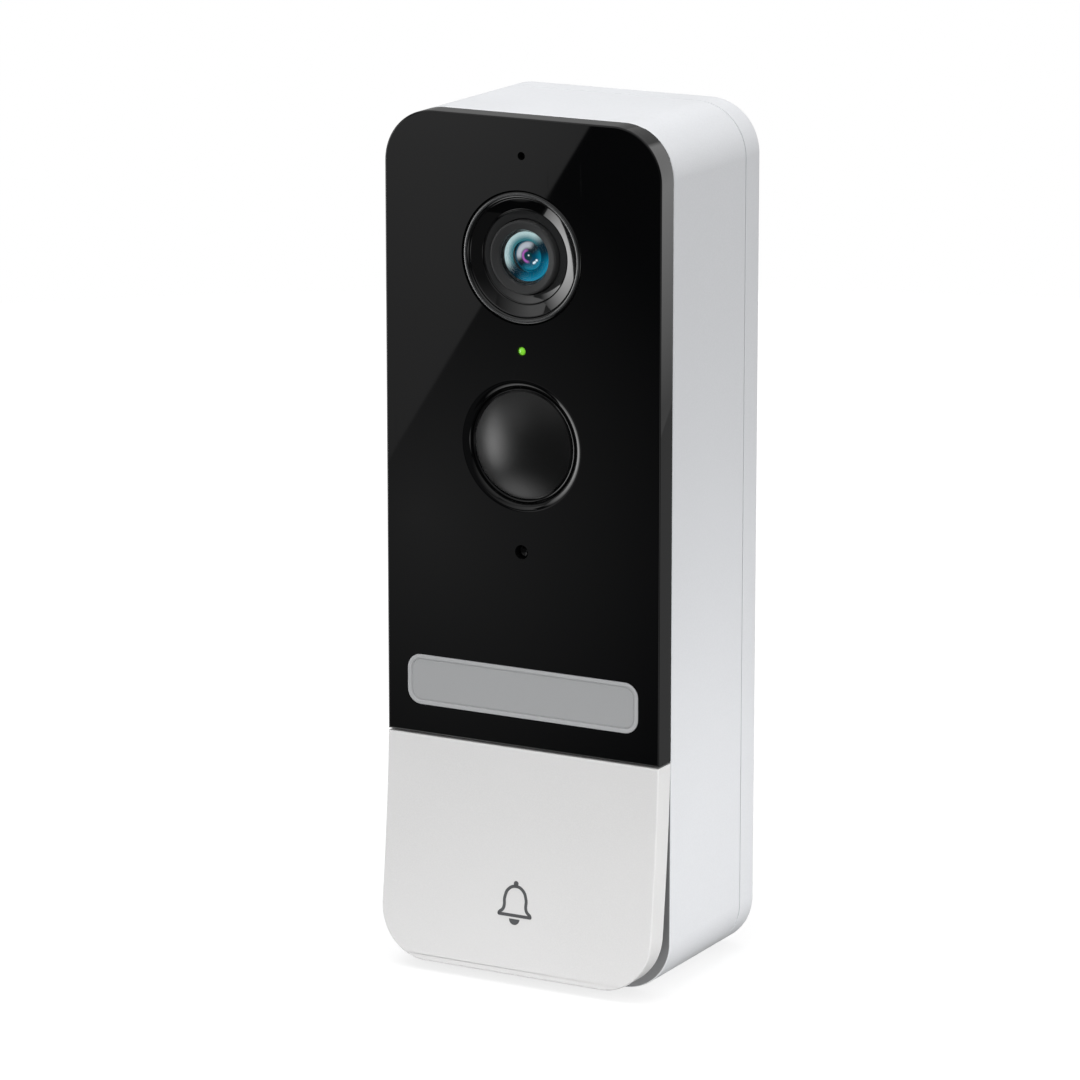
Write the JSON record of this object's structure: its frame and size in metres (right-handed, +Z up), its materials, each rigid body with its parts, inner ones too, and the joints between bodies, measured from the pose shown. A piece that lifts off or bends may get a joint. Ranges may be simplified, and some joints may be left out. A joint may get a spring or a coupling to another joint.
{
  "type": "video doorbell",
  "caption": "Upright battery video doorbell on a wall bracket, with camera, motion sensor dome, light bar and a leaning call button.",
  "frame": {"origin": "middle of the wall bracket's back face, on the wall", "axes": "+Z up, +Y into the wall, the glass faces -Y"},
  "size_m": [0.053, 0.0415, 0.151],
  "materials": {
    "black_gloss": "polished black plastic window and trim",
    "black_matte": "fine-grained black plastic",
    "white_shell": "satin white housing plastic",
    "white_button": "satin white button plastic, slightly warmer",
    "grey_diffuser": "frosted grey light diffuser",
    "grey_rubber": "soft grey silicone",
    "black_rubber": "soft black silicone",
    "lens_glass": "coated camera glass with a teal reflection",
    "green_lens": "lit green status light",
    "steel": "bright plated steel",
    "brass": "plain brass",
    "circuit_board": "green solder mask",
    "led_yellow": "phosphor-coated light chip",
    "battery_wrap": "shrink wrap over the battery cells"
  },
  "bodies": {
    "wall_bracket": {"wall_bracket": "white_shell"},
    "doorbell": {"front_panel": "black_gloss", "sensor_carrier": "black_matte", "camera_bezel": "black_gloss", "lens_barrel": "black_matte", "front_lens": "lens_glass", "rear_lens": "lens_glass", "camera_module": "black_matte", "pir_dome": "black_gloss", "pir_sensor": "steel", "status_light_pipe": "green_lens", "status_led": "led_yellow", "microphone_gasket": "black_rubber", "microphone": "steel", "light_sensor_lens": "black_gloss", "light_sensor": "black_matte", "light_bar_diffuser": "grey_diffuser", "light_bar_board": "circuit_board", "light_led_1": "led_yellow", "light_led_2": "led_yellow", "light_led_3": "led_yellow", "light_led_4": "led_yellow", "main_board": "circuit_board", "wifi_shield": "steel", "wifi_antenna": "brass", "button_pivot_rod": "steel", "button_bumper_left": "grey_rubber", "button_bumper_right": "grey_rubber", "tact_switch": "steel", "switch_board": "circuit_board", "main_housing": "white_shell", "housing_gasket": "grey_rubber", "speaker": "black_matte", "speaker_gasket": "black_rubber", "battery_tray": "black_matte", "battery_cell_left": "battery_wrap", "battery_cell_right": "battery_wrap", "rear_cover": "white_shell", "case_screw_1": "steel", "case_screw_2": "steel", "case_screw_3": "steel", "case_screw_4": "steel", "power_board": "circuit_board", "terminal_block": "black_matte", "terminal_screw_left": "brass", "terminal_screw_right": "brass", "usb_socket": "steel", "security_screw": "steel"},
    "call_button": {"call_button": "white_button"},
    "switch_plunger": {"switch_plunger": "black_matte"},
    "usb_flap": {"usb_flap": "grey_rubber"},
    "reset_button": {"reset_button": "black_matte"}
  },
  "joints": [
    {"name": "unit_tilt", "type": "hinge", "parent": "wall_bracket", "child": "doorbell", "pos_m": [0, -0.0036, 0.0706], "axis": [-1, 0, 0], "range_deg": [0, 10]},
    {"name": "button_press", "type": "hinge", "parent": "doorbell", "child": "call_button", "pos_m": [0, -0.0289, -0.0382], "axis": [1, 0, 0], "range_deg": [0, 1.6], "stiffness_Nm_per_rad": 1.2, "springref_deg": -1.15},
    {"name": "plunger_slide", "type": "slide", "parent": "doorbell", "child": "switch_plunger", "axis": [0, 1, 0], "range_m": [0, 0.0006]},
    {"name": "flap_swing", "type": "hinge", "parent": "doorbell", "child": "usb_flap", "pos_m": [0, -0.0042, -0.0292], "axis": [1, 0, 0], "range_deg": [0, 75]},
    {"name": "reset_press", "type": "slide", "parent": "doorbell", "child": "reset_button", "axis": [0, -1, 0], "range_m": [0, 0.0006], "stiffness_N_per_m": 200, "springref_m": -0.0004}
  ],
  "couplings": [
    {"joint": "plunger_slide", "follows": "button_press", "m_per_rad": 0.0195}
  ]
}
